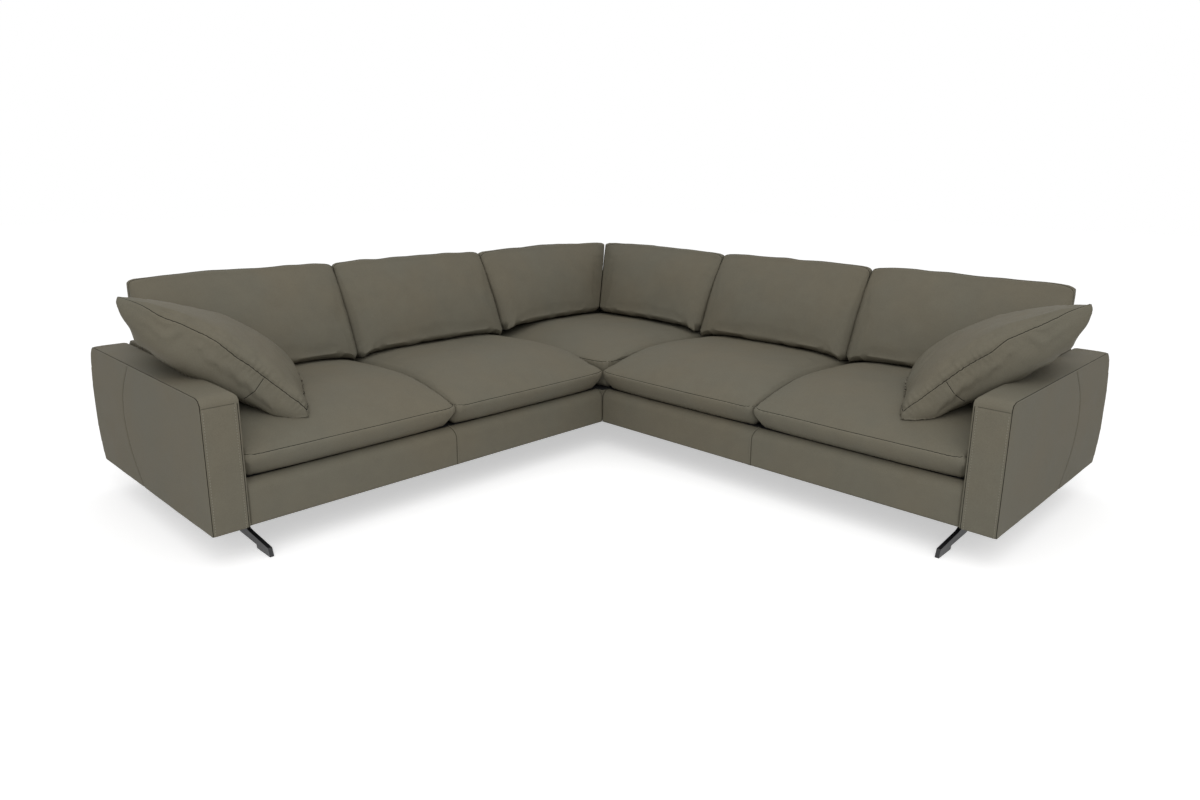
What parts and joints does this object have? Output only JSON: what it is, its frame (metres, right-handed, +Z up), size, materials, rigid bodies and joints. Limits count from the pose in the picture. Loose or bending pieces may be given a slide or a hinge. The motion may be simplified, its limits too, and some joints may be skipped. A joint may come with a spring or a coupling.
{
  "type": "corner sofa",
  "caption": "L-shaped corner sofa in leather with slab arms, crowned seat cushions, raked loose back cushions, a scatter cushion on each arm and long low metal front feet.",
  "frame": {"origin": "on the floor under the middle of the outer box of the whole sofa", "axes": "+Z up; the right wing runs along +X from the corner and the left wing along -Y; the seats face -Y and +X, and the corner of the two backs is at -X, +Y"},
  "size_m": [2.99, 2.99, 0.8964],
  "materials": {
    "leather": "olive grey leather with a soft matt grain",
    "black_cloth": "black lining cloth",
    "webbing": "woven elastic webbing",
    "timber": "raw sawn timber and board",
    "black_metal": "satin black coating",
    "black_plastic": "moulded black plastic",
    "steel": "plated steel"
  },
  "bodies": {
    "corner_unit": {"corner_base_frame": "timber", "corner_sockets": "black_plastic", "corner_support_legs": "black_plastic", "corner_leg_fixings": "steel", "corner_seat_webbing": "webbing", "corner_seat_deck": "black_cloth", "corner_dust_cover": "black_cloth", "corner_back_frame": "timber", "corner_back_board": "timber", "left_corner_back_cover": "leather", "right_corner_back_cover": "leather"},
    "corner_seat": {"corner_seat_cushion": "leather"},
    "left_unit": {"left_front_leg": "black_metal", "left_support_legs": "black_plastic", "left_leg_fixings": "steel", "left_base_frame": "timber", "left_tongues": "steel", "left_seat_webbing": "webbing", "left_seat_deck": "black_cloth", "left_dust_cover": "black_cloth", "left_base_cover": "leather", "left_back_frame": "timber", "left_back_board": "timber", "left_back_cover": "leather", "left_arm_frame": "timber", "left_arm_bolts": "steel", "left_arm_cover": "leather"},
    "left_seat_outer": {"left_seat_cushion_outer": "leather"},
    "left_back_outer": {"left_back_cushion_outer": "leather"},
    "left_seat_inner": {"left_seat_cushion_inner": "leather"},
    "left_back_inner": {"left_back_cushion_inner": "leather"},
    "left_scatter": {"left_scatter_cushion": "leather"},
    "left_corner_back": {"left_corner_back_cushion": "leather"},
    "right_unit": {"right_front_leg": "black_metal", "right_support_legs": "black_plastic", "right_leg_fixings": "steel", "right_base_frame": "timber", "right_tongues": "steel", "right_seat_webbing": "webbing", "right_seat_deck": "black_cloth", "right_dust_cover": "black_cloth", "right_base_cover": "leather", "right_back_frame": "timber", "right_back_board": "timber", "right_back_cover": "leather", "right_arm_frame": "timber", "right_arm_bolts": "steel", "right_arm_cover": "leather"},
    "right_seat_outer": {"right_seat_cushion_outer": "leather"},
    "right_back_outer": {"right_back_cushion_outer": "leather"},
    "right_seat_inner": {"right_seat_cushion_inner": "leather"},
    "right_back_inner": {"right_back_cushion_inner": "leather"},
    "right_scatter": {"right_scatter_cushion": "leather"},
    "right_corner_back": {"right_corner_back_cushion": "leather"}
  },
  "joints": [
    {"name": "corner_seat_lift", "type": "slide", "parent": "corner_unit", "child": "corner_seat", "axis": [0, 0, 1], "range_m": [0, 0.45]},
    {"name": "left_unit_slide", "type": "slide", "parent": "corner_unit", "child": "left_unit", "axis": [0, -1, 0], "range_m": [0, 0.3]},
    {"name": "left_seat_outer_lift", "type": "slide", "parent": "left_unit", "child": "left_seat_outer", "axis": [0, 0, 1], "range_m": [0, 0.45]},
    {"name": "left_back_outer_lift", "type": "slide", "parent": "left_seat_outer", "child": "left_back_outer", "axis": [-0.0976, 0, 0.9952], "range_m": [0, 0.45]},
    {"name": "left_seat_inner_lift", "type": "slide", "parent": "left_unit", "child": "left_seat_inner", "axis": [0, 0, 1], "range_m": [0, 0.45]},
    {"name": "left_back_inner_lift", "type": "slide", "parent": "left_seat_inner", "child": "left_back_inner", "axis": [-0.0976, 0, 0.9952], "range_m": [0, 0.45]},
    {"name": "left_scatter_lift", "type": "slide", "parent": "left_seat_outer", "child": "left_scatter", "axis": [0, 0, 1], "range_m": [0, 0.45]},
    {"name": "left_corner_back_lift", "type": "slide", "parent": "corner_seat", "child": "left_corner_back", "axis": [-0.0976, 0, 0.9952], "range_m": [0, 0.45]},
    {"name": "right_unit_slide", "type": "slide", "parent": "corner_unit", "child": "right_unit", "axis": [1, 0, 0], "range_m": [0, 0.3]},
    {"name": "right_seat_outer_lift", "type": "slide", "parent": "right_unit", "child": "right_seat_outer", "axis": [0, 0, 1], "range_m": [0, 0.45]},
    {"name": "right_back_outer_lift", "type": "slide", "parent": "right_seat_outer", "child": "right_back_outer", "axis": [0, 0.0976, 0.9952], "range_m": [0, 0.45]},
    {"name": "right_seat_inner_lift", "type": "slide", "parent": "right_unit", "child": "right_seat_inner", "axis": [0, 0, 1], "range_m": [0, 0.45]},
    {"name": "right_back_inner_lift", "type": "slide", "parent": "right_seat_inner", "child": "right_back_inner", "axis": [0, 0.0976, 0.9952], "range_m": [0, 0.45]},
    {"name": "right_scatter_lift", "type": "slide", "parent": "right_seat_outer", "child": "right_scatter", "axis": [0, 0, 1], "range_m": [0, 0.45]},
    {"name": "right_corner_back_lift", "type": "slide", "parent": "corner_seat", "child": "right_corner_back", "axis": [0, 0.0976, 0.9952], "range_m": [0, 0.45]}
  ]
}
